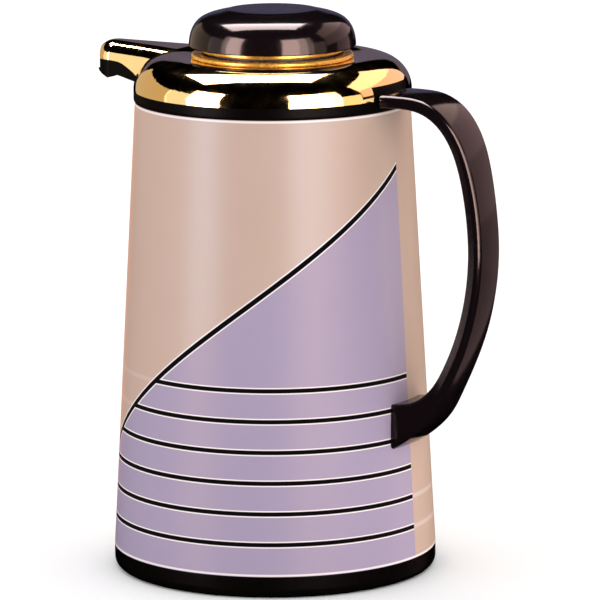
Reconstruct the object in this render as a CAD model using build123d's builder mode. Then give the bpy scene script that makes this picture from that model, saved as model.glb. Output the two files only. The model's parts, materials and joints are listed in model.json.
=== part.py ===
from build123d import *
import os
from math import cos, pi, radians, sin

# A glass-lined vacuum carafe that pours: a tapered steel body on a plastic base, a plated
# shoulder with a spout, a strap handle and a screw-in stopper.
# Millimetres, +Z up, origin at the centre of the foot, handle towards +X, spout towards -X.

os.makedirs("parts", exist_ok=True)

BY_FOOT = (Align.CENTER, Align.CENTER, Align.MIN)    # a solid placed by the middle of its foot

# Body and base
BASE_R = 73.0              # outer radius where the body meets the base
BASE_H = 10.0              # height of the base below the body
BODY_TOP = 212.7           # top edge of the sheet body
TAPER = 0.0544             # radius lost per millimetre of height
SHEET = 0.6                # body sheet thickness
FOOT_R = 69.4              # outer radius of the ring that stands on the table
FOOT_IN_R = 65.5
FLOOR_Z = 4.0              # underside of the base floor
HUB_R = 33.0               # bore of the hub that takes the bottom cap

# Vacuum liner
LINER_R = 58.0             # outer flask, outside
FLASK_R = 51.5             # inner flask, outside
GLASS = 1.5
LINER_BOTTOM = 22.0
FLASK_BOTTOM = 27.5
LINER_SHOULDER = 195.0
FLASK_SHOULDER = 189.5
NECK_OUT_R = 29.0
NECK_IN_R = 23.0
LIP_Z = 211.0

# Shoulder, neck and collar
RING_R = 62.5              # shoulder ring and foot of the plated cover
RING_TOP = 218.0
COVER_T = 1.6              # wall of the plated cover
COLLAR_R = 34.5            # hole in the plated cover
COLLAR_Z = 232.0
BORE_R = 27.0              # bore of the threaded neck
SEAT_Z = 216.0             # the seat that the stopper's gasket presses on
SEAT_R = 23.5
WEB_Z = 213.4              # underside of the web of the neck insert

# Stopper thread
LEAD = 6.0                 # rise for one turn
NECK_THREAD_Z = 226.2      # lowest turn of the thread in the neck
NECK_THREAD_TURN = 4.5     # height of that thread
PLUG_THREAD_Z = 224.0
PLUG_R = 24.8              # core of the stopper's thread
WAIST_R = 21.0

# Knob
KNOB_R = 37.6
KNOB_Z = 237.5             # lower rim of the knob
KNOB_TOP = 254.0

# Spout
SPOUT_X = -90.3            # tip
SPOUT_TOP = 235.1          # top edge at the tip
SPOUT_ROOT_TOP = 233.8     # top edge where it runs under the knob
SPOUT_NOSE_R = 9.6         # radius of the rounded tip, seen from above
SPOUT_ROOT_W = 13.0        # half width at the shoulder
CHANNEL_W = 7.6            # half width of the passage

# Handle
HANDLE_EDGE = 2.4          # rounding of the handle's outer long edges
HANDLE_INNER_EDGE = 0.9    # rounding of the edges that face the body
HANDLE_DRAFT = 1.5         # each side leans in by this much from the outer to the inner face
SCREW_R = 1.7
FOOT_SCREW_Z = 72.5        # lower handle screws
ROOT_SCREW_Z = 218.6       # upper handle screws
SCREW_Y = 7.5              # half the distance between two handle screws

# The handle's middle line in the XZ plane, from the shoulder down to the body
HANDLE_LINE = [
    (62.6, 218.2), (74.5, 218.3), (84.6, 216.0), (92.6, 210.3), (98.9, 201.0), (103.4, 187.5),
    (106.4, 170.0), (107.6, 153.0), (106.2, 134.5), (101.6, 115.0), (93.9, 96.4), (88.6, 87.2),
    (83.4, 81.0), (77.6, 76.5), (70.8, 73.2), (62.6, 70.7),
]
# Half width and thickness of the handle against the fraction of the way along that line;
# the last knot of the thickness lies past the end, so that the foot is still spreading there
HANDLE_WIDTH = [(0, 15.0), (0.42, 10.6), (0.72, 10.6), (1, 15.0)]
HANDLE_DEPTH = [(0, 6.1), (0.12, 6.1), (0.42, 7.0), (0.8, 7.0), (1.08, 26.6)]
HANDLE_SECTIONS = 26


def body_radius(z):
    """Outside radius of the tapered body at height z."""
    return BASE_R - TAPER * (z - BASE_H)


def save(part, name):
    part.label = name
    export_step(part, f"parts/{name}.step")


def turned(points):
    """A ring or disc turned about +Z from its half section, given as (radius, z) points."""
    with BuildPart() as ring:
        with BuildSketch(Plane.XZ):
            with BuildLine():
                Polyline(*points, close=True)
            make_face()
        revolve(axis=Axis.Z)
    return ring.part


def screw(length, head_r, head_h):
    """A pan-head screw that lies along +Z, its head below z = 0, with a cross recess."""
    with BuildPart() as body:
        Cylinder(SCREW_R, length, align=BY_FOOT)
        with BuildSketch(Plane.XY):
            Circle(head_r)
        extrude(amount=-head_h)
        fillet(body.edges().group_by(Axis.Z)[0], head_h * 0.45)
        with BuildSketch(Plane.XY.offset(-head_h)):
            Rectangle(head_r * 1.1, 0.8)
            Rectangle(0.8, head_r * 1.1)
        extrude(amount=head_h * 0.5, mode=Mode.SUBTRACT)
        chamfer(body.edges().group_by(Axis.Z)[-1], SCREW_R * 0.5)
    return body.part


def flask(radius, bottom, shoulder, neck_r, top, corner, curve, throat):
    """Solid of revolution with a round bottom, a round shoulder and a straight neck."""
    with BuildPart() as solid:
        with BuildSketch(Plane.XZ):
            with BuildLine():
                outline = FilletPolyline(
                    (0, bottom),
                    (radius, bottom),
                    (radius, shoulder),
                    (neck_r, shoulder + 3.0),
                    (neck_r, top),
                    radius=[corner, curve, throat],
                )
                Polyline(outline @ 1, (0, top), outline @ 0)
            make_face()
        revolve(axis=Axis.Z)
    return solid.part


def helix_ridge(radius, z, height, depth, inward):
    """A thread ridge: a trapezoid swept along a helix, rooted 0.4 mm inside its wall."""
    side = -1 if inward else 1
    root = radius - side * 0.4
    tip = radius + side * depth
    with BuildPart() as ridge:
        with BuildLine():
            path = Helix(pitch=LEAD, height=height, radius=radius, center=(0, 0, z))
        with BuildSketch(Plane.XZ):
            with BuildLine():
                Polyline((root, z - 1.0), (tip, z - 0.5), (tip, z + 0.5), (root, z + 1.0), close=True)
            make_face()
        sweep(path=path, is_frenet=True)
    return ridge.part


def eased(knots, place):
    """Smooth steps between (place, value) knots."""
    for (start, low), (end, high) in zip(knots, knots[1:]):
        if place <= end:
            part = (place - start) / (end - start)
            return low + (high - low) * (1 - cos(pi * part)) / 2
    return knots[-1][1]


def handle_band(first, last, from_outer, from_inner, side_gap, edge, crown):
    """A stretch of the handle, lofted through sections square to its middle line.

    first and last are fractions of the line; from_outer and from_inner are the shares of the
    thickness left out at the outer and the inner face.
    """
    with BuildLine(Plane.XZ):
        middle_line = Spline(*HANDLE_LINE, tangents=((1, 0), (-1, -0.28)))
    with BuildPart() as band:
        for index in range(HANDLE_SECTIONS):
            place = first + (last - first) * index / (HANDLE_SECTIONS - 1)
            travel = middle_line.length * place
            along = middle_line.tangent_at(travel, position_mode=PositionMode.LENGTH)
            depth = eased(HANDLE_DEPTH, place)
            half_width = eased(HANDLE_WIDTH, place) - side_gap
            low = depth * (from_inner - 0.5)
            high = depth * (0.5 - from_outer)
            inner_half = half_width - HANDLE_DRAFT * (1 - from_inner)
            outer_half = half_width - HANDLE_DRAFT * from_outer
            middle = middle_line.position_at(travel, position_mode=PositionMode.LENGTH)
            with BuildSketch(Plane(origin=middle, x_dir=(0, 1, 0), z_dir=along)):
                with BuildLine():
                    Polyline((-outer_half, high - crown), (-inner_half, low), (inner_half, low),
                             (outer_half, high - crown))
                    ThreePointArc((outer_half, high - crown), (0, high), (-outer_half, high - crown))
                make_face()
                fillet(vertices().group_by(Axis.Y)[0], min(edge, HANDLE_INNER_EDGE))
                fillet(vertices().group_by(Axis.Y)[-1], edge)
        loft()
    return band.part


# ---- Base -------------------------------------------------------------------------------

with BuildPart() as base_shell:
    with BuildSketch(Plane.XZ):
        with BuildLine():
            Line((BASE_R - 0.1, BASE_H), (BASE_R, BASE_H - 0.4))
            Line((BASE_R, BASE_H - 0.4), (BASE_R, 4.2))
            TangentArc((BASE_R, 4.2), (FOOT_R, 0), tangent=(0, -1))
            Polyline(
                (FOOT_R, 0),
                (FOOT_IN_R, 0),
                (FOOT_IN_R - 1.2, FLOOR_Z),
                (HUB_R, FLOOR_Z),
                (HUB_R, 15),
                (HUB_R + 3, 15),
                (HUB_R + 3, FLOOR_Z + 2.2),
                (FOOT_IN_R, FLOOR_Z + 2.2),
                (body_radius(BASE_H) - 3, BASE_H),
                (body_radius(20) - SHEET - 2.2, 20),
                (body_radius(20) - SHEET - 0.05, 20),
                (body_radius(BASE_H) - SHEET - 0.05, BASE_H),
                (BASE_R - 0.1, BASE_H),
            )
        make_face()
    revolve(axis=Axis.Z)
    # stiffening ribs from the hub to the outer wall
    with PolarLocations((HUB_R + FOOT_IN_R) / 2 + 1.5, 12):
        with Locations((0, 0, FLOOR_Z + 1)):
            Box(FOOT_IN_R - HUB_R, 1.8, 5, align=BY_FOOT)
save(base_shell.part, "base_shell")

with BuildPart() as bottom_cap:
    add(turned([
        (0, 1.6), (36, 1.6), (36, FLOOR_Z - 0.05), (HUB_R - 0.05, FLOOR_Z - 0.05),
        (HUB_R - 0.05, 14), (HUB_R - 3, 14), (HUB_R - 3, 5), (0, 5),
    ]))
    with BuildSketch(Plane.XY.offset(1.6)):
        SlotOverall(30, 3.2)
    extrude(amount=1.8, mode=Mode.SUBTRACT)
    lower_rims = bottom_cap.edges().filter_by(GeomType.CIRCLE).group_by(Axis.Z)[0]
    fillet(lower_rims.sort_by(SortBy.RADIUS)[-1], 0.8)
save(bottom_cap.part, "bottom_cap")

with BuildPart() as liner_rest:
    add(turned([(20, 5.05), (HUB_R - 3.2, 5.05), (HUB_R - 3.2, 21.9), (22, 21.9), (20, 19)]))
save(liner_rest.part, "liner_rest")

# ---- Vacuum liner -----------------------------------------------------------------------

with BuildPart() as liner_outer_flask:
    add(flask(LINER_R, LINER_BOTTOM, LINER_SHOULDER, NECK_OUT_R, LIP_Z - GLASS, 34, 22, 6))
    add(
        flask(LINER_R - GLASS, LINER_BOTTOM + GLASS, LINER_SHOULDER - GLASS, NECK_OUT_R - GLASS,
              LIP_Z - GLASS, 32.5, 20.5, 7.5),
        mode=Mode.SUBTRACT,
    )
    # the sealed tip where the air was drawn out
    with Locations((0, 0, LINER_BOTTOM - 3.5)):
        Cone(1.2, 3.2, 9, align=(Align.CENTER, Align.CENTER, Align.CENTER))
save(liner_outer_flask.part, "liner_outer_flask")

with BuildPart() as liner_inner_flask:
    add(flask(FLASK_R, FLASK_BOTTOM, FLASK_SHOULDER, NECK_IN_R + GLASS, LIP_Z, 29, 17, 10))
    add(turned([
        (NECK_IN_R + 0.5, LIP_Z - GLASS), (NECK_OUT_R, LIP_Z - GLASS), (NECK_OUT_R, LIP_Z - 0.6),
        (NECK_OUT_R - 0.6, LIP_Z), (NECK_IN_R + 0.5, LIP_Z),
    ]))
    add(
        flask(FLASK_R - GLASS, FLASK_BOTTOM + GLASS, FLASK_SHOULDER - GLASS, NECK_IN_R,
              LIP_Z, 27.5, 15.5, 11.5),
        mode=Mode.SUBTRACT,
    )
save(liner_inner_flask.part, "liner_inner_flask")

with BuildPart() as liner_spacers:
    for spacer_angle in (60, 180, 300):
        outward = (cos(radians(spacer_angle)), sin(radians(spacer_angle)), 0)
        with Locations(Plane(origin=(0, 0, 95), z_dir=outward).offset(FLASK_R + 0.2)):
            Cylinder(4, LINER_R - GLASS - FLASK_R - 0.4, align=BY_FOOT)
save(liner_spacers.part, "liner_spacers")

with BuildPart() as neck_gasket:
    add(turned([
        (NECK_IN_R + 0.2, LIP_Z), (NECK_OUT_R + 0.1, LIP_Z), (NECK_OUT_R + 0.1, 205),
        (NECK_OUT_R + 2.1, 205), (NECK_OUT_R + 2.1, WEB_Z), (NECK_IN_R + 0.2, WEB_Z),
    ]))
save(neck_gasket.part, "neck_gasket")

# ---- Neck, shoulder and spout -------------------------------------------------------------

screw_angles = (45, 135, 225, 315)
screw_ring = 53.5

with BuildPart() as neck_insert:
    add(turned([
        (SEAT_R, WEB_Z), (NECK_OUT_R + 2.2, WEB_Z), (NECK_OUT_R + 2.2, 207), (NECK_OUT_R + 4, 207),
        (NECK_OUT_R + 4, WEB_Z), (57.5, WEB_Z), (57.5, WEB_Z + 1.8), (30.5, WEB_Z + 1.8),
        (30.5, 229.3), (34.1, 229.3), (34.1, COLLAR_Z), (BORE_R, COLLAR_Z), (BORE_R, SEAT_Z),
        (SEAT_R, SEAT_Z),
    ]))
    add(helix_ridge(BORE_R, NECK_THREAD_Z, NECK_THREAD_TURN, 1.6, True))
    # window through which the coffee leaves the neck
    with Locations((-BORE_R - 1, 0, 217.4)):
        Box(9, CHANNEL_W * 2 - 1, 7.2, align=BY_FOOT, mode=Mode.SUBTRACT)
    for angle in screw_angles:
        with Locations((screw_ring * cos(radians(angle)), screw_ring * sin(radians(angle)), WEB_Z)):
            Cylinder(3.6, 5.6, align=BY_FOOT)
            Cylinder(SCREW_R + 0.05, 12, mode=Mode.SUBTRACT)
    for rib_angle in (27, 75, 105, 153, 207, 255, 285, 333):
        with Locations(Rotation(0, 0, rib_angle) * Pos(42, 0, WEB_Z + 1.8)):
            Box(23.4, 1.6, 4, align=BY_FOOT)
save(neck_insert.part, "neck_insert")

# the solid under the plated skin: a dome that is slightly dished towards the collar
with BuildPart() as dome_outside:
    with BuildSketch(Plane.XZ):
        with BuildLine():
            Line((0, RING_TOP), (RING_R, RING_TOP))
            Spline(
                (RING_R, RING_TOP),
                (61.7, 222.9),
                (58.0, 228.6),
                (52.3, 232.0),
                (46.0, 233.1),
                (COLLAR_R - 0.1, COLLAR_Z),
                tangents=((0, 1), (-1, -0.1)),
            )
            Polyline((COLLAR_R - 0.1, COLLAR_Z), (0, COLLAR_Z), (0, RING_TOP))
        make_face()
    revolve(axis=Axis.Z)

with BuildPart() as dome_inside:
    with BuildSketch(Plane.XZ):
        with BuildLine():
            Line((0, RING_TOP - 1), (RING_R - COVER_T, RING_TOP - 1))
            Line((RING_R - COVER_T, RING_TOP - 1), (RING_R - COVER_T, RING_TOP))
            Spline(
                (RING_R - COVER_T, RING_TOP),
                (60.1, 222.4),
                (56.8, 227.4),
                (51.8, 230.4),
                (46.0, 231.5),
                (COLLAR_R - 0.1, COLLAR_Z - COVER_T),
                tangents=((0, 1), (-1, -0.1)),
            )
            Polyline((COLLAR_R - 0.1, COLLAR_Z - COVER_T), (0, COLLAR_Z - COVER_T), (0, RING_TOP - 1))
        make_face()
    revolve(axis=Axis.Z)

# whole outside of the spout: its side outline crossed with its plan, the top rounded over
with BuildPart() as spout_outside:
    with BuildSketch(Plane.XZ):
        with BuildLine():
            Polyline(
                (-39, RING_TOP + 0.05),
                (-39, COLLAR_Z + 0.4),
                (-45, SPOUT_ROOT_TOP),
                (SPOUT_X, SPOUT_TOP),
                (SPOUT_X, 226.3),
                (SPOUT_X + 1.3, 221.8),
                (-81.4, 218.3),
                (-75.8, 220.1),
                (-66, RING_TOP + 0.05),
                close=True,
            )
        make_face()
    extrude(amount=24, both=True)
    with BuildSketch(Plane.XY.offset(200)):
        with BuildLine():
            nose_side = SPOUT_X + SPOUT_NOSE_R
            Polyline(
                (nose_side, -SPOUT_NOSE_R),
                (-61, -SPOUT_ROOT_W),
                (-39, -SPOUT_ROOT_W - 4),
                (-39, SPOUT_ROOT_W + 4),
                (-61, SPOUT_ROOT_W),
                (nose_side, SPOUT_NOSE_R),
            )
            ThreePointArc((nose_side, SPOUT_NOSE_R), (SPOUT_X, 0), (nose_side, -SPOUT_NOSE_R))
        make_face()
    extrude(amount=50, mode=Mode.INTERSECT)
    top_edges = spout_outside.edges().filter_by(lambda e: e.center().Z > SPOUT_ROOT_TOP)
    fillet(top_edges.filter_by(lambda e: e.center().X < -50), 7.5)

# the passage from the neck to the tip
with BuildPart() as passage:
    with BuildSketch(Plane.XZ):
        with BuildLine():
            Polyline(
                (-29.2, 217.6),
                (-60, 219.6),
                (-77, 221.6),
                (-98, 222.2),
                (-98, SPOUT_TOP - 3.2),
                (-58, SPOUT_TOP - 3.2),
                (-46, 230.9),
                (-29.2, 226),
                close=True,
            )
        make_face()
    extrude(amount=CHANNEL_W, both=True)
    roof_edges = passage.edges().filter_by(lambda e: e.center().Z > SPOUT_TOP - 3.3)
    fillet(roof_edges.filter_by(lambda e: e.length > 30), 5)

# everything of the spout below the plated hood's lower edge
with BuildPart() as hood_below:
    with BuildSketch(Plane.XZ):
        with BuildLine():
            Polyline((-84, 226.6), (-98, 226.3), (-98, 205), (-63.2, 205), (-63.2, 218.6))
            Spline(
                (-63.2, 218.6), (-65.8, 221.8), (-70.2, 224.3), (-84, 226.6),
                tangents=((-0.3, 1), (-1, 0.02)),
            )
        make_face()
    extrude(amount=24, both=True)

with BuildPart() as shoulder_cover:
    add(dome_outside.part)
    add(spout_outside.part)
    add(dome_inside.part, mode=Mode.SUBTRACT)
    add(passage.part, mode=Mode.SUBTRACT)
    add(hood_below.part, mode=Mode.SUBTRACT)
    with Locations((-62, 0, RING_TOP - 2)):
        Box(14, SPOUT_ROOT_W * 2 - 3.6, 3.7, align=BY_FOOT, mode=Mode.SUBTRACT)
    with Locations((60, 0, RING_TOP - 2)):
        Box(16, 30.2, 8.3, align=BY_FOOT, mode=Mode.SUBTRACT)
    with Locations((0, 0, RING_TOP)):
        Cylinder(COLLAR_R, 40, mode=Mode.SUBTRACT)
save(shoulder_cover.part, "shoulder_cover")

with BuildPart() as spout_channel:
    add(spout_outside.part)
    with Locations((0, 0, -0.1)):
        add(hood_below.part, mode=Mode.INTERSECT)
    with Locations((-49, 0, RING_TOP + 0.05)):
        Box(36, SPOUT_ROOT_W * 2 - 4, 1.55, align=BY_FOOT)
    with Locations((-43.6, 0, WEB_Z + 1.85)):
        Box(25.2, CHANNEL_W * 2 + 3.2, 10, align=BY_FOOT)
    add(passage.part, mode=Mode.SUBTRACT)
    with Locations((0, 0, 220)):
        Cylinder(30.6, 30, mode=Mode.SUBTRACT)
save(spout_channel.part, "spout_channel")

with BuildPart() as shoulder_ring:
    add(turned([
        (61.25, 204), (61.25, BODY_TOP), (61.9, BODY_TOP), (RING_R - 0.05, BODY_TOP + 0.8),
        (RING_R, BODY_TOP + 1.4), (RING_R, RING_TOP), (59, RING_TOP), (59, WEB_Z - 0.05),
        (50, WEB_Z - 0.05), (50, WEB_Z - 2.1), (58.6, WEB_Z - 2.1), (58.6, 204),
    ]))
    # block that fills the notch in the plated cover and takes the handle's upper screws
    with BuildSketch(Plane.XY.offset(WEB_Z + 2)):
        with Locations((58.2, 0)):
            Rectangle(8.4, 29.8)
    extrude(amount=8.7)
    block_limit = turned([(0, 200), (RING_R, 200), (RING_R, 219), (61.7, 222.9), (60.6, 226), (0, 226)])
    add(block_limit, mode=Mode.INTERSECT)
    for angle in screw_angles:
        with Locations((screw_ring * cos(radians(angle)), screw_ring * sin(radians(angle)), WEB_Z - 2)):
            Cylinder(SCREW_R + 0.3, 12, mode=Mode.SUBTRACT)
    for side in (-SCREW_Y, SCREW_Y):
        with Locations(Pos(58, side, ROOT_SCREW_Z) * Rotation(0, 90, 0)):
            Cylinder(SCREW_R + 0.3, 12, mode=Mode.SUBTRACT)
save(shoulder_ring.part, "shoulder_ring")

with BuildPart() as shoulder_screws:
    for angle in screw_angles:
        place = Pos(screw_ring * cos(radians(angle)), screw_ring * sin(radians(angle)), WEB_Z - 2.15)
        add(place * screw(6.8, 3.0, 2.0))
save(shoulder_screws.part, "shoulder_screws")

with BuildPart() as collar_trim:
    with BuildSketch(Plane.XZ):
        with BuildLine():
            FilletPolyline(
                (31.6, COLLAR_Z + 0.2), (36.3, COLLAR_Z + 0.2), (36.3, COLLAR_Z + 2.3),
                (31.6, COLLAR_Z + 2.3), close=True, radius=[0.2, 0.9, 0.9, 0.2],
            )
        make_face()
    revolve(axis=Axis.Z)
save(collar_trim.part, "collar_trim")

# ---- Body -------------------------------------------------------------------------------

with BuildPart() as outer_body:
    add(turned([
        (body_radius(BASE_H) - SHEET, BASE_H + 0.05), (body_radius(BASE_H), BASE_H + 0.05),
        (body_radius(BODY_TOP), BODY_TOP - 0.05), (body_radius(BODY_TOP) - SHEET, BODY_TOP - 0.05),
    ]))
    for side in (-SCREW_Y, SCREW_Y):
        with Locations(Pos(68, side, FOOT_SCREW_Z) * Rotation(0, 90, 0)):
            Cylinder(SCREW_R + 0.5, 12, mode=Mode.SUBTRACT)
save(outer_body.part, "outer_body")

# ---- Handle -----------------------------------------------------------------------------

with BuildPart() as body_clearance:
    add(turned([
        (0, 5), (body_radius(5) + 0.05, 5), (body_radius(BODY_TOP) + 0.05, BODY_TOP),
        (RING_R + 0.05, BODY_TOP + 0.5), (RING_R + 0.05, 240), (0, 240),
    ]))

with BuildPart() as handle_shell:
    add(handle_band(0, 1, 0, 0, 0, HANDLE_EDGE, 0.7))
    add(handle_band(0.08, 0.88, 0.4, -0.2, 2.4, 0.5, 0.3), mode=Mode.SUBTRACT)
    add(body_clearance.part, mode=Mode.SUBTRACT)
    for side in (-SCREW_Y, SCREW_Y):
        with Locations(Pos(66, side, FOOT_SCREW_Z) * Rotation(0, 90, 0)):
            Cylinder(SCREW_R + 0.02, 12, align=BY_FOOT, mode=Mode.SUBTRACT)
        with Locations(Pos(60, side, ROOT_SCREW_Z) * Rotation(0, 90, 0)):
            Cylinder(SCREW_R + 0.02, 11.5, align=BY_FOOT, mode=Mode.SUBTRACT)
save(handle_shell.part, "handle_shell")

with BuildPart() as handle_inner_cover:
    add(handle_band(0.083, 0.877, 0.68, 0.02, 2.5, 0.5, 0.1))
save(handle_inner_cover.part, "handle_inner_cover")

with BuildPart() as handle_backing_plate:
    add(turned([
        (body_radius(62) - SHEET - 2.0, 62), (body_radius(62) - SHEET - 0.1, 62),
        (body_radius(83) - SHEET - 0.1, 83), (body_radius(83) - SHEET - 2.0, 83),
    ]))
    with Locations((68, 0, FOOT_SCREW_Z)):
        Box(20, 30, 20, mode=Mode.INTERSECT)
    for side in (-SCREW_Y, SCREW_Y):
        with Locations(Pos(66, side, FOOT_SCREW_Z) * Rotation(0, 90, 0)):
            Cylinder(SCREW_R + 0.3, 12, mode=Mode.SUBTRACT)
save(handle_backing_plate.part, "handle_backing_plate")

with BuildPart() as handle_lower_screws:
    for side in (-SCREW_Y, SCREW_Y):
        place = Pos(body_radius(FOOT_SCREW_Z) - SHEET - 2.95, side, FOOT_SCREW_Z)
        add(place * Rotation(0, 90, 0) * screw(10, 3.2, 2.2))
save(handle_lower_screws.part, "handle_lower_screws")

with BuildPart() as handle_upper_screws:
    for side in (-SCREW_Y, SCREW_Y):
        place = Pos(53.95, side, ROOT_SCREW_Z)
        add(place * Rotation(0, 90, 0) * screw(16, 3.2, 2.2))
save(handle_upper_screws.part, "handle_upper_screws")

# ---- Stopper ----------------------------------------------------------------------------

with BuildPart() as stopper_body:
    add(turned([
        (0, 198), (19, 198), (WAIST_R, 200), (WAIST_R, 215), (WAIST_R - 1.6, 215.8),
        (WAIST_R - 1.6, 219.2), (WAIST_R, 219.6), (WAIST_R, 221), (PLUG_R, 223), (PLUG_R, 233.4),
        (30.4, 234.4), (30.4, 236.2), (18.4, 236.2), (18.4, 201), (0, 200.2),
    ]))
    add(helix_ridge(PLUG_R, PLUG_THREAD_Z, LEAD, 1.6, False))
    with PolarLocations(21.6, 3):
        with Locations((0, 0, 229)):
            Cylinder(SCREW_R + 0.02, 10, align=BY_FOOT, mode=Mode.SUBTRACT)
save(stopper_body.part, "stopper_body")

with BuildPart() as stopper_gasket:
    add(turned([
        (WAIST_R - 1.3, 216.05), (24.7, 216.05), (25.2, 216.5), (25.0, 217.4), (22.6, 218.4),
        (22.2, 219.1), (WAIST_R - 1.3, 219.1),
    ]))
save(stopper_gasket.part, "stopper_gasket")

with BuildPart() as stopper_insulation:
    add(turned([(0, 200.3), (18.3, 201.2), (18.3, 238.2), (0, 238.2)]))
save(stopper_insulation.part, "stopper_insulation")

with BuildPart() as stopper_trim:
    with BuildSketch(Plane.XZ):
        with BuildLine():
            FilletPolyline(
                (30.5, 235.2), (32.5, 235.2), (32.5, 237.8), (30.5, 237.8), close=True,
                radius=[0.2, 0.8, 0.5, 0.2],
            )
        make_face()
    revolve(axis=Axis.Z)
save(stopper_trim.part, "stopper_trim")

with BuildPart() as stopper_cap_base:
    add(turned([
        (0, 238.3), (18.6, 238.3), (18.6, 236.25), (30.4, 236.25), (30.4, 238.5), (35.1, 238.7),
        (35.1, 240.0), (33.4, 240.4), (33.4, 240.2), (0, 240.2),
    ]))
    with PolarLocations(21.6, 3):
        with Locations((0, 0, 238)):
            Cylinder(SCREW_R + 0.2, 10, mode=Mode.SUBTRACT)
save(stopper_cap_base.part, "stopper_cap_base")

with BuildPart() as stopper_screws:
    with PolarLocations(21.6, 3):
        add(Pos(0, 0, 240.25) * Rotation(180, 0, 0) * screw(10.5, 3.0, 2.0))
save(stopper_screws.part, "stopper_screws")

with BuildPart() as stopper_cap:
    with BuildSketch(Plane.XZ):
        with BuildLine():
            Line((0, KNOB_TOP), (0, KNOB_TOP - 2.4))
            Spline(
                (0, KNOB_TOP - 2.4), (23.6, 250.2), (32.6, 246.2), (35.2, 240.0),
                tangents=((1, 0), (0.05, -1)),
            )
            Polyline((35.2, 240.0), (35.2, KNOB_Z), (KNOB_R - 0.5, KNOB_Z))
            Line((KNOB_R - 0.5, KNOB_Z), (KNOB_R, KNOB_Z + 0.5))
            Spline(
                (KNOB_R, KNOB_Z + 0.5), (36.5, 244.2), (32.3, 249.9), (23.6, 252.9), (0, KNOB_TOP),
                tangents=((-0.08, 1), (-1, 0)),
            )
        make_face()
    revolve(axis=Axis.Z)
save(stopper_cap.part, "stopper_cap")
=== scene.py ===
import json
import math

import bmesh
import bpy
from mathutils import Matrix, Vector

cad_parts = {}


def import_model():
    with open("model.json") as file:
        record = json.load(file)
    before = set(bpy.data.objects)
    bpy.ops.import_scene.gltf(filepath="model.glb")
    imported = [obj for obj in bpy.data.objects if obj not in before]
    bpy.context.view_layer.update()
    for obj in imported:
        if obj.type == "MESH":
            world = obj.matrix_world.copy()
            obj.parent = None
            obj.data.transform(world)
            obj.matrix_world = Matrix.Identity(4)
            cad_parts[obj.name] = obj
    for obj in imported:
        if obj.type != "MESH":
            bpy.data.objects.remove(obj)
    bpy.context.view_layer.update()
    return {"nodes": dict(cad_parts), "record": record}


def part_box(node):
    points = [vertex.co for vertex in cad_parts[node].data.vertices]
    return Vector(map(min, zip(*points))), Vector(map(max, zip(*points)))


# Vacuum carafe. Metres, +Z up, the handle towards +X and the spout towards -X.
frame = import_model()
NODES = frame["nodes"]
MM = 0.001

# ---- The printed sheet of the body, in millimetres and degrees ---------------------------
# Angles start at the sheet's seam, in the handle's plane, and grow on the camera's side; they
# run from -30 to 330. The lilac panel lies at 0 to 195.
FIRST_ANGLE = -30.0
BODY_LOW, BODY_HIGH = (corner.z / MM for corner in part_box("outer_body"))
PANEL_TOP = 187.3           # height of the panel's upper corner, at the seam
PANEL_SLOPE = 0.75          # its upper edge falls this much for each degree
PANEL_CURVE = 0.00093       # the sheet is a cone, so the straight edge bends a little
SLANT_SQUARE = 0.79         # turns a height above the slanting edge to a distance square to it
ALONG_SHEET = 1.18          # for each degree
PRINT_EDGE = 0.15           # softness of the panel's edges
LINE_EDGE = 0.12            # softness of the lines' edges
SLANT_LINE = 1.12           # half widths of the dark lines and of the pale lines under them
SLANT_PALE = 1.62
BAND_LINE = 0.98
BAND_PALE = 1.48
BAND_LOW = 24.4             # lowest dark band
BAND_STEP = 13.74
BAND_COUNT = 6
RIM_UP = 0.6                # pale lines just inside the sheet's two ends
RIM_DOWN = 0.7
RIM_LINE = 0.45
RIM_STRENGTH = 0.8
FAINT_LEFT = 0.10           # strength of the faint lines left of the panel
FAINT_PAST_SEAM = 0.24
BANDS_PAST_SEAM = 2         # only the lowest bands show past the seam
LEFT_FADE = 295.0, 328.0    # angles over which the faint lines fade, at the back
SEAM_FADE = -29.0, -21.0

SAND = (0.455, 0.313, 0.251), (0.481, 0.336, 0.274)
LILAC = (0.306, 0.246, 0.352), (0.326, 0.266, 0.376)
PALE = (0.80, 0.72, 0.72)
INK = (0.003, 0.002, 0.003)
PEARL_ON_SAND = (0.37, 0.70, 1.0)
PEARL_ON_LILAC = (0.45, 0.35, 0.15)
NO_PEARL = (0.0, 0.0, 0.0)


def shader_math(tree, operation, *values):
    """A Math node whose inputs are sockets or numbers; returns its output."""
    node = tree.nodes.new("ShaderNodeMath")
    node.operation = operation
    for socket, value in zip(node.inputs, values):
        if isinstance(value, (int, float)):
            socket.default_value = value
        else:
            tree.links.new(value, socket)
    return node.outputs[0]


def colour_mix(tree, factor, low, high):
    """Mixes two colours, each a socket or an RGB tuple."""
    node = tree.nodes.new("ShaderNodeMix")
    node.data_type = "RGBA"
    tree.links.new(factor, node.inputs[0])
    for socket, value in ((node.inputs[6], low), (node.inputs[7], high)):
        if isinstance(value, tuple):
            socket.default_value = (*value, 1.0)
        else:
            tree.links.new(value, socket)
    return node.outputs[2]


def noise(tree, scale, detail=3.0, rough=0.5, stretch=None):
    """Noise in the object's own coordinates (metres)."""
    where = tree.nodes.new("ShaderNodeTexCoord").outputs["Object"]
    if stretch:
        mapping = tree.nodes.new("ShaderNodeMapping")
        mapping.inputs["Scale"].default_value = stretch
        tree.links.new(where, mapping.inputs["Vector"])
        where = mapping.outputs[0]
    node = tree.nodes.new("ShaderNodeTexNoise")
    node.inputs["Scale"].default_value = scale
    node.inputs["Detail"].default_value = detail
    node.inputs["Roughness"].default_value = rough
    tree.links.new(where, node.inputs["Vector"])
    return node.outputs["Fac"]


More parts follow.
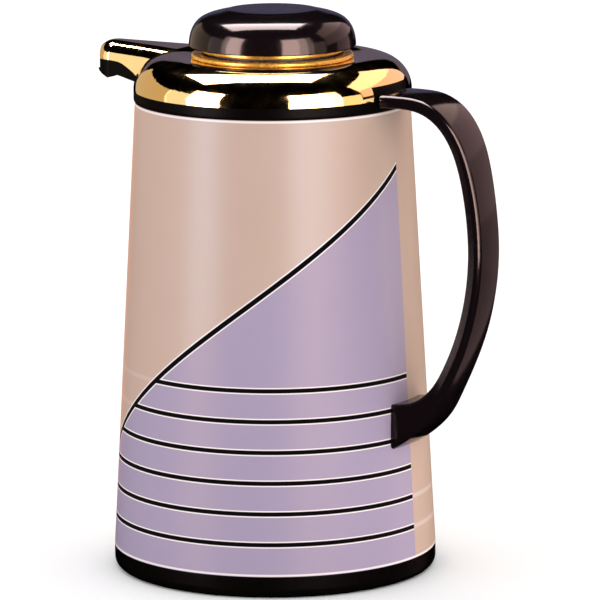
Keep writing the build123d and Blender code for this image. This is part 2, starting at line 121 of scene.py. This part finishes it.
def ramp(tree, value, low, high, to_low, to_high):
    """Maps a value's range to another, clamped."""
    node = tree.nodes.new("ShaderNodeMapRange")
    tree.links.new(value, node.inputs["Value"])
    node.inputs["From Min"].default_value = low
    node.inputs["From Max"].default_value = high
    node.inputs["To Min"].default_value = to_low
    node.inputs["To Max"].default_value = to_high
    return node.outputs["Result"]


def bump(tree, shader, height, strength, distance):
    """Relief from a height; distance is in metres."""
    node = tree.nodes.new("ShaderNodeBump")
    node.inputs["Strength"].default_value = strength
    node.inputs["Distance"].default_value = distance
    tree.links.new(height, node.inputs["Height"])
    tree.links.new(node.outputs["Normal"], shader.inputs["Normal"])


def new_material(name, **constants):
    """A Principled material; constants are its sockets' fixed values."""
    material = bpy.data.materials.new(name)
    material.use_nodes = True
    shader = material.node_tree.nodes["Principled BSDF"]
    for socket, value in constants.items():
        shader.inputs[socket.replace("_", " ")].default_value = value
    return material, material.node_tree, shader


def printed_sheet():
    """Pearl lacquer over the print: sand ground, lilac panel, dark bands, pale keylines."""
    material, tree, shader = new_material("printed_sheet", IOR=1.275)

    def calc(operation, *values):
        return shader_math(tree, operation, *values)

    def stripe(distance, half_width):
        away = calc("ABSOLUTE", distance)
        return ramp(tree, away, half_width - LINE_EDGE, half_width + LINE_EDGE, 1.0, 0.0)

    # height and angle on the sheet
    where = tree.nodes.new("ShaderNodeTexCoord").outputs["Object"]
    split = tree.nodes.new("ShaderNodeSeparateXYZ")
    tree.links.new(where, split.inputs[0])
    x, y, z_metres = split.outputs
    z = calc("MULTIPLY", z_metres, 1.0 / MM)
    turn = calc("MULTIPLY", calc("ARCTAN2", calc("MULTIPLY", y, -1.0), x), 180.0 / math.pi)
    turn = calc("FLOORED_MODULO", calc("SUBTRACT", turn, FIRST_ANGLE), 360.0)
    turn = calc("ADD", turn, FIRST_ANGLE)

    # the panel, below its slanting edge and left of the seam
    fall = calc("MULTIPLY", turn, PANEL_SLOPE)
    bend = calc("MULTIPLY", calc("MULTIPLY", turn, turn), PANEL_CURVE)
    edge = calc("SUBTRACT", PANEL_TOP, calc("ADD", fall, bend))
    slant = calc("MULTIPLY", calc("SUBTRACT", z, edge), SLANT_SQUARE)
    across = calc("MULTIPLY", turn, ALONG_SHEET)
    below = ramp(tree, slant, -PRINT_EDGE, PRINT_EDGE, 1.0, 0.0)
    left_of_seam = ramp(tree, across, -PRINT_EDGE, PRINT_EDGE, 0.0, 1.0)
    inside = calc("MULTIPLY", below, left_of_seam)
    slant_line = calc("MULTIPLY", stripe(slant, SLANT_LINE), left_of_seam)
    slant_pale = calc("MULTIPLY", stripe(slant, SLANT_PALE), left_of_seam)

    # the level bands
    step = calc("DIVIDE", calc("SUBTRACT", z, BAND_LOW), BAND_STEP)
    nearest = calc("MAXIMUM", calc("ROUND", step), 0.0)
    nearest = calc("MINIMUM", nearest, BAND_COUNT - 1.0)
    band_gap = calc("MULTIPLY", calc("SUBTRACT", step, nearest), BAND_STEP)
    band = stripe(band_gap, BAND_LINE)
    band_pale = stripe(band_gap, BAND_PALE)

    # outside the panel the bands run on, faint and pale, and fade out at the back
    to_left = calc("MULTIPLY", left_of_seam, ramp(tree, turn, *LEFT_FADE, FAINT_LEFT, 0.0))
    past_seam = calc("SUBTRACT", 1.0, left_of_seam)
    fade = ramp(tree, turn, *SEAM_FADE, 0.0, FAINT_PAST_SEAM)
    past_seam = calc("MULTIPLY", past_seam, fade)
    highest = BANDS_PAST_SEAM - 0.5
    shown = ramp(tree, nearest, highest - 0.1, highest + 0.1, 1.0, 0.0)
    past_seam = calc("MULTIPLY", past_seam, shown)
    faint = calc("MULTIPLY", band, calc("ADD", to_left, past_seam))

    mottle = noise(tree, 45.0, 4.0, 0.6)
    ground = colour_mix(tree, faint, colour_mix(tree, mottle, *SAND), PALE)
    colour = colour_mix(tree, inside, ground, colour_mix(tree, mottle, *LILAC))
    keyline = calc("MAXIMUM", slant_pale, calc("MULTIPLY", band_pale, inside))
    for rim in (BODY_LOW + RIM_UP, BODY_HIGH - RIM_DOWN):
        rim_line = stripe(calc("SUBTRACT", z, rim), RIM_LINE)
        keyline = calc("MAXIMUM", keyline, calc("MULTIPLY", rim_line, RIM_STRENGTH))
    colour = colour_mix(tree, keyline, colour, PALE)
    dark = calc("MAXIMUM", slant_line, calc("MULTIPLY", band, inside))
    colour = colour_mix(tree, dark, colour, INK)
    tree.links.new(colour, shader.inputs["Base Color"])

    # the pearl in the lacquer is cool over the sand and warm over the lilac
    pearl = colour_mix(tree, inside, PEARL_ON_SAND, PEARL_ON_LILAC)
    pearl = colour_mix(tree, dark, pearl, NO_PEARL)
    tree.links.new(pearl, shader.inputs["Specular Tint"])

    # the lacquer is a soft gloss, the ink under the lines is matt
    gloss = ramp(tree, noise(tree, 2600.0, 2.0, 0.6), 0.3, 0.7, 0.30, 0.36)
    matt = calc("MULTIPLY", dark, 0.5)
    tree.links.new(calc("ADD", gloss, matt), shader.inputs["Roughness"])

    # the print stands a few hundredths of a millimetre proud, and the sheet is not quite true
    wave = noise(tree, 14.0, 1.0, 0.4, (1.0, 1.0, 0.35))
    relief = calc("ADD", calc("MULTIPLY", dark, 0.06), wave)
    bump(tree, shader, relief, 0.25, 0.0004)
    return material


def varied(name, tint, roughness, relief, **constants):
    """A material whose colour, roughness and relief each follow their own noise.

    tint: noise, low colour, high colour. roughness: noise, the span of it used, low, high; or
    None where constants give it. relief: noise, strength, distance. Each noise: scale, then
    detail and roughness where they are not the usual ones.
    """
    material, tree, shader = new_material(name, **constants)
    grain, low, high = tint
    tree.links.new(colour_mix(tree, noise(tree, *grain), low, high), shader.inputs["Base Color"])
    if roughness:
        grain, *span = roughness
        tree.links.new(ramp(tree, noise(tree, *grain), *span), shader.inputs["Roughness"])
    grain, strength, distance = relief
    bump(tree, shader, noise(tree, *grain), strength, distance)
    return material


FINISH = {
    "body_sheet": printed_sheet(),
    # gold plate over moulded plastic: mirror bright, with the slight waves of the moulding
    "plated_gold": varied(
        "gold_plate",
        ((60.0, 3.0, 0.5), (0.93, 0.64, 0.26), (0.97, 0.70, 0.32)),
        ((130.0, 5.0, 0.65), 0.35, 0.75, 0.035, 0.10),
        ((55.0, 2.0, 0.5), 0.12, 0.0004),
        Metallic=1.0, IOR=1.45,
    ),
    # gold lacquer with a soft sheen
    "gold_trim": varied(
        "satin_gold",
        ((60.0, 3.0, 0.5), (0.66, 0.37, 0.065), (0.72, 0.42, 0.085)),
        ((300.0, 5.0, 0.65), 0.35, 0.75, 0.22, 0.34),
        ((160.0, 2.0, 0.5), 0.12, 0.0003),
        Metallic=0.45, IOR=1.45,
    ),
    # glossy moulded plastic, brown-black, with faint moulding waves and hairline wear
    "black_plastic": varied(
        "black_gloss",
        ((35.0, 3.0, 0.5), (0.004, 0.002, 0.003), (0.007, 0.004, 0.005)),
        ((420.0, 6.0, 0.7), 0.4, 0.8, 0.10, 0.18),
        ((70.0, 2.0, 0.5), 0.10, 0.0005),
        IOR=1.38, Specular_Tint=(1.0, 0.80, 0.78, 1.0),
    ),
    # the same plastic with a fine satin face
    "black_plastic_trim": varied(
        "black_satin_trim",
        ((60.0,), (0.002, 0.001, 0.001), (0.003, 0.002, 0.002)),
        ((600.0,), 0.3, 0.7, 0.26, 0.36),
        ((2200.0, 2.0), 0.15, 0.0001),
        IOR=1.4, Specular_IOR_Level=0.03,
    ),
    "inner_plastic": varied(
        "black_satin",
        ((80.0,), (0.022, 0.020, 0.021), (0.038, 0.035, 0.036)),
        ((900.0,), 0.3, 0.7, 0.38, 0.55),
        ((2400.0, 2.0), 0.25, 0.0002),
        IOR=1.5,
    ),
    "silvered_glass": varied(
        "silvered_glass",
        ((25.0, 4.0), (0.74, 0.75, 0.77), (0.86, 0.86, 0.87)),
        ((90.0, 4.0), 0.3, 0.7, 0.05, 0.16),
        ((18.0, 1.0), 0.3, 0.001),
        Metallic=1.0, Coat_Weight=1.0, Coat_Roughness=0.02,
    ),
    "silicone": varied(
        "silicone",
        ((120.0,), (0.62, 0.60, 0.55), (0.70, 0.68, 0.63)),
        ((700.0,), 0.3, 0.7, 0.55, 0.75),
        ((1500.0, 3.0), 0.3, 0.0002),
        IOR=1.45,
    ),
    "dark_rubber": varied(
        "dark_rubber",
        ((120.0,), (0.020, 0.020, 0.020), (0.035, 0.034, 0.033)),
        ((700.0,), 0.3, 0.7, 0.55, 0.75),
        ((1500.0, 3.0), 0.3, 0.0002),
        IOR=1.45,
    ),
    "foam": varied(
        "foam",
        ((500.0,), (0.78, 0.76, 0.70), (0.86, 0.84, 0.79)),
        None,
        ((1500.0, 4.0, 0.7), 0.6, 0.0006),
        IOR=1.4, Roughness=0.95,
    ),
    "ceramic_felt": varied(
        "ceramic_felt",
        ((900.0,), (0.66, 0.64, 0.60), (0.76, 0.74, 0.70)),
        None,
        ((2700.0, 4.0, 0.7), 0.6, 0.0006),
        IOR=1.4, Roughness=0.95,
    ),
    "zinc_steel": varied(
        "zinc_steel",
        ((300.0,), (0.55, 0.55, 0.56), (0.70, 0.69, 0.66)),
        ((800.0,), 0.3, 0.7, 0.25, 0.45),
        ((1200.0,), 0.2, 0.0002),
        Metallic=1.0,
    ),
}
# nodes whose face differs from the rest of their material
NODE_FINISH = {
    "base_shell": "black_plastic_trim",
    "shoulder_ring": "black_plastic_trim",
    "bottom_cap": "black_plastic_trim",
    "spout_channel": "black_plastic_trim",
    "collar_trim": "gold_trim",
    "stopper_trim": "gold_trim",
}
for part in frame["record"]["subparts"]:
    node = NODES[part["node"]]
    node.data.materials.clear()
    finish = NODE_FINISH.get(part["node"], part["material_slot"])
    node.data.materials.append(FINISH[finish])

# ---- Stage, light and camera -------------------------------------------------------------

CAMERA_AZIMUTH = 30.0       # degrees round from the front, towards the handle
CAMERA_DOWN = 10.69         # degrees below level
CAMERA_ROLL = -0.28
CAMERA_DISTANCE = 2.4493    # level distance from the object's axis
CAMERA_HEIGHT = 0.5835
CAMERA_RIGHT = 0.0118       # how far it stands to the right of the axis
LENS = 330.84
WHITE = (1.0, 1.0, 1.0)
ROOM_LIGHT = 1.27           # strength of the even light on matt surfaces
POWER = 4.0                 # an area light's watts for a square metre at unit strength
SUN_SPREAD = 70.0           # degrees; wide, so the fills throw no edge
CARD_DISTANCE = 1.2
CARD_HEIGHT = 0.48
CARD_TALL = 1.16
FLOOR_HALF = 12.0
BROWN = (1.0, 0.64, 0.63)
PEACH = (1.0, 0.72, 0.63)


def camera():
    """The long lens of the picture: 30 degrees round from the front, looking down a little."""
    azimuth = math.radians(CAMERA_AZIMUTH)
    right = Vector((math.cos(azimuth), math.sin(azimuth), 0.0))
    back = Vector((math.sin(azimuth), -math.cos(azimuth), 0.0))
    data = bpy.data.cameras.new("camera")
    data.lens = LENS
    data.sensor_width = 36.0
    data.clip_end = 60.0
    eye = bpy.data.objects.new("camera", data)
    pitch = Matrix.Rotation(math.radians(90.0 - CAMERA_DOWN), 4, "X")
    roll = Matrix.Rotation(math.radians(CAMERA_ROLL), 4, "Z")
    place = back * CAMERA_DISTANCE + right * CAMERA_RIGHT + Vector((0.0, 0.0, CAMERA_HEIGHT))
    turn = Matrix.Rotation(azimuth, 4, "Z")
    eye.matrix_world = Matrix.Translation(place) @ turn @ pitch @ roll
    bpy.context.scene.collection.objects.link(eye)
    bpy.context.scene.camera = eye


def panel(name, azimuth, distance, height, width, tall, radiance, colour,
          tilt=90.0, facing=None):
    """A soft panel seen only in reflections; tilt 90 stands upright.

    azimuth runs from the camera to its right, and the panel faces the axis unless facing says.
    """
    turn = math.radians(CAMERA_AZIMUTH + azimuth)
    faced = turn if facing is None else math.radians(CAMERA_AZIMUTH + facing)
    data = bpy.data.lights.new(name, "AREA")
    data.shape = "RECTANGLE"
    data.size = width
    data.size_y = tall
    data.energy = POWER * radiance * width * tall
    data.color = colour
    light = bpy.data.objects.new(name, data)
    light.location = (math.sin(turn) * distance, -math.cos(turn) * distance, height)
    light.rotation_euler = (math.radians(tilt), 0.0, faced)
    light.visible_camera = False
    light.visible_diffuse = False
    bpy.context.scene.collection.objects.link(light)
    return light


def soft_light(name, azimuth, tilt, strength, colour=WHITE):
    """A broad light for the matt surfaces, turned like a panel; tilt 0 shines straight down."""
    data = bpy.data.lights.new(name, "SUN")
    data.color = colour
    data.energy = strength
    data.angle = math.radians(SUN_SPREAD)
    light = bpy.data.objects.new(name, data)
    light.rotation_euler = (math.radians(tilt), 0.0, math.radians(CAMERA_AZIMUTH + azimuth))
    light.visible_glossy = False
    bpy.context.scene.collection.objects.link(light)
    return light


def linking_group(name, nodes, state="INCLUDE"):
    """A collection that lights use to pick, or to pass over, some nodes."""
    group = bpy.data.collections.new(name)
    for node in nodes:
        group.objects.link(NODES[node])
    for entry in group.collection_objects:
        entry.light_linking.link_state = state
    return group


def only_on_body(light):
    """Keeps a light to the printed sheet, and lets the handle throw no shadow from it."""
    light.light_linking.receiver_collection = body_alone
    light.light_linking.blocker_collection = body_alone


def not_on_handle(light):
    """Keeps a card out of the handle's flat sides."""
    light.light_linking.receiver_collection = all_but_handle


def floor():
    """A white floor that catches the contact shadow; gloss doesn't see it."""
    mesh = bpy.data.meshes.new("floor")
    grid = bmesh.new()
    bmesh.ops.create_grid(grid, x_segments=1, y_segments=1, size=FLOOR_HALF)
    grid.to_mesh(mesh)
    grid.free()
    ground = bpy.data.objects.new("floor", mesh)
    material, tree, shader = new_material("floor", Roughness=1.0, Specular_IOR_Level=0.0)
    tint = colour_mix(tree, noise(tree, 3.0), (0.90, 0.90, 0.90), (0.93, 0.93, 0.93))
    tree.links.new(tint, shader.inputs["Base Color"])
    mesh.materials.append(material)
    ground.visible_glossy = False
    ground.visible_shadow = False
    bpy.context.scene.collection.objects.link(ground)


def world():
    """An even white room for the matt surfaces; gloss sees only the panels."""
    sky = bpy.data.worlds.new("studio")
    bpy.context.scene.world = sky
    sky.use_nodes = True
    background = sky.node_tree.nodes["Background"]
    background.inputs["Color"].default_value = (*WHITE, 1.0)
    background.inputs["Strength"].default_value = ROOM_LIGHT
    sky.cycles_visibility.glossy = False


camera()
world()
floor()
body_alone = linking_group("body_alone", ["outer_body"])
all_but_handle = linking_group("all_but_handle", ["handle_shell", "handle_inner_cover"], "EXCLUDE")

only_on_body(soft_light("right_fill", 45.0, 75.0, 0.50))
only_on_body(soft_light("right_back_fill", 92.0, 75.0, 1.3, (1.0, 0.87, 0.68)))
only_on_body(soft_light("left_fill", -80.0, 75.0, 0.35))

# panels: azimuth, distance, height, width, tall, radiance, colour
panel("overhead", 205.0, 0.55, 1.50, 1.25, 1.15, 16.0, (1.0, 0.93, 0.92), tilt=-14.0, facing=180.0)

# the two tall cards fade towards their outer sides
for azimuth, width, radiance in ((-54.5, 0.47, 13.5), (-69.5, 0.16, 4.5)):
    not_on_handle(panel("left_card", azimuth, CARD_DISTANCE, CARD_HEIGHT, width, CARD_TALL,
                        radiance, (1.0, 0.84, 0.80)))
for azimuth, width, radiance in ((25.5, 0.52, 13.0), (44.0, 0.27, 8.0), (54.5, 0.17, 3.0)):
    panel("right_card", azimuth, CARD_DISTANCE, CARD_HEIGHT, width, CARD_TALL,
          radiance, (1.0, 0.83, 0.76))

# the wall to the right grows brighter upwards
for low, high, width, radiance, colour in (
    (-0.7, -0.15, 0.7, 0.35, BROWN), (-0.15, 0.1, 0.7, 0.4, BROWN), (0.1, 0.4, 0.7, 0.7, BROWN),
    (0.4, 0.9, 1.75, 1.0, BROWN), (0.9, 1.6, 1.75, 1.6, PEACH),
):
    panel("right_wall", 116.0, CARD_DISTANCE, (low + high) / 2, width, high - low, radiance, colour)
panel("right_low", 67.0, 1.3, 0.33, 0.52, 0.56, 1.0, (1.0, 0.88, 0.66))
only_on_body(panel("right_edge", 100.0, 1.2, 0.03, 0.36, 0.36, 3.0, (1.0, 0.80, 0.55)))
panel("left_glow", -85.0, 1.2, 0.33, 0.55, 0.80, 0.85, (1.0, 0.98, 0.95))
panel("left_wall", -125.0, 1.2, 0.39, 1.35, 0.68, 0.50, (1.0, 0.80, 0.55))
only_on_body(panel("left_rim", -163.0, 1.2, 0.05, 0.40, 0.5, 1.0, (1.0, 0.30, 0.10)))
panel("back_wall", 180.0, 1.6, 0.35, 1.60, 0.5, 0.14, (0.66, 0.60, 1.0))
bpy.context.scene.view_settings.view_transform = "Standard"
